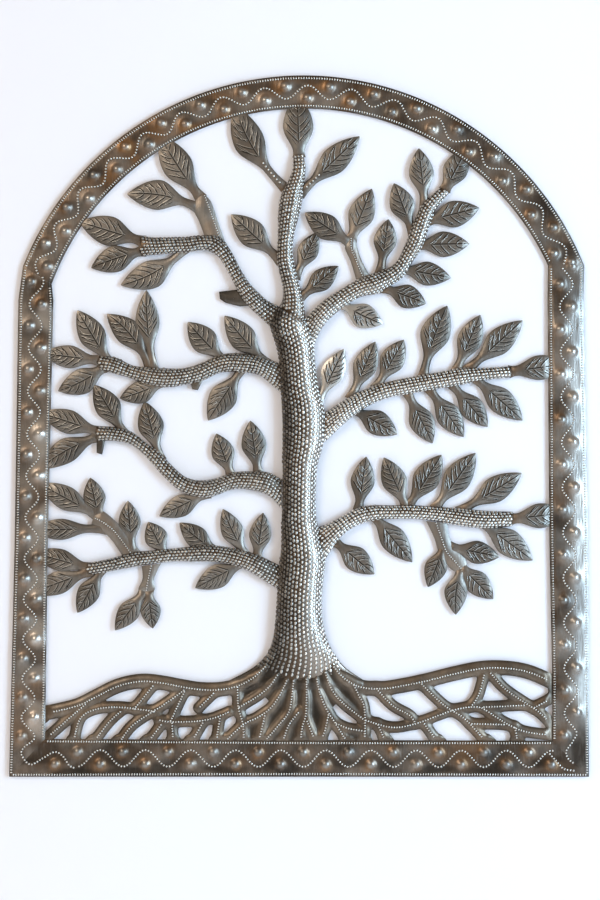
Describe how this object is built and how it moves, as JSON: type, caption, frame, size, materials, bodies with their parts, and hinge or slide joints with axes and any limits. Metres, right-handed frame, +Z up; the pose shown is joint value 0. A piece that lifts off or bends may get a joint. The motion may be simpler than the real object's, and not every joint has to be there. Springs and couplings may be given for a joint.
{
  "type": "wall plaque",
  "caption": "Arched wall plaque of pierced and hammered sheet steel: a leafy tree with spreading limbs and netted roots inside a domed border.",
  "frame": {"origin": "middle of the plaque's bottom edge, in the flat plane of the sheet's back", "axes": "+Z up the plaque, -Y out of the decorated front, +Y into the wall, +X to the viewer's right"},
  "size_m": [0.63, 0.016, 0.762],
  "materials": {
    "border_steel": "hammered steel with rust-brown patina under clear lacquer, semi-gloss",
    "limb_steel": "dark chased steel with rows of burnished beads, semi-gloss",
    "leaf_steel": "smooth grey-brown steel with chased veins, semi-gloss",
    "twig_steel": "smooth grey-brown steel with a punched dot line, semi-gloss",
    "root_steel": "dark brown steel strands with punched dot lines, semi-gloss"
  },
  "bodies": {
    "root": {"arch_rail": "border_steel", "left_rail": "border_steel", "right_rail": "border_steel", "bottom_rail": "border_steel", "trunk": "limb_steel", "crown_limb": "limb_steel", "upper_left_limb": "limb_steel", "upper_right_limb": "limb_steel", "left_high_limb": "limb_steel", "left_middle_limb": "limb_steel", "left_low_limb": "limb_steel", "right_middle_limb": "limb_steel", "right_low_limb": "limb_steel", "upper_left_twig": "twig_steel", "upper_right_twig": "twig_steel", "left_low_twig": "twig_steel", "left_low_hanging_twig": "twig_steel", "right_low_twig": "twig_steel", "side_stubs": "twig_steel", "crown_leaves": "leaf_steel", "upper_left_leaves": "leaf_steel", "upper_left_hanging_leaf": "leaf_steel", "upper_right_inner_leaves": "leaf_steel", "upper_right_twig_leaves": "leaf_steel", "upper_right_outer_leaves": "leaf_steel", "trunk_leaf": "leaf_steel", "left_high_upper_leaves": "leaf_steel", "left_high_tip_leaves": "leaf_steel", "left_high_lower_leaves": "leaf_steel", "left_middle_upper_leaves": "leaf_steel", "left_middle_tip_leaves": "leaf_steel", "left_middle_lower_leaf": "leaf_steel", "left_low_upper_leaves": "leaf_steel", "left_low_twig_leaves": "leaf_steel", "left_low_tip_leaves": "leaf_steel", "left_low_hanging_leaves": "leaf_steel", "right_middle_upper_leaves": "leaf_steel", "right_middle_lower_leaves": "leaf_steel", "right_low_upper_leaves": "leaf_steel", "right_low_lower_leaves": "leaf_steel", "right_low_twig_leaves": "leaf_steel", "left_ground": "root_steel", "right_ground": "root_steel", "left_roots": "root_steel", "root_fan": "root_steel", "right_roots": "root_steel"}
  },
  "joints": []
}
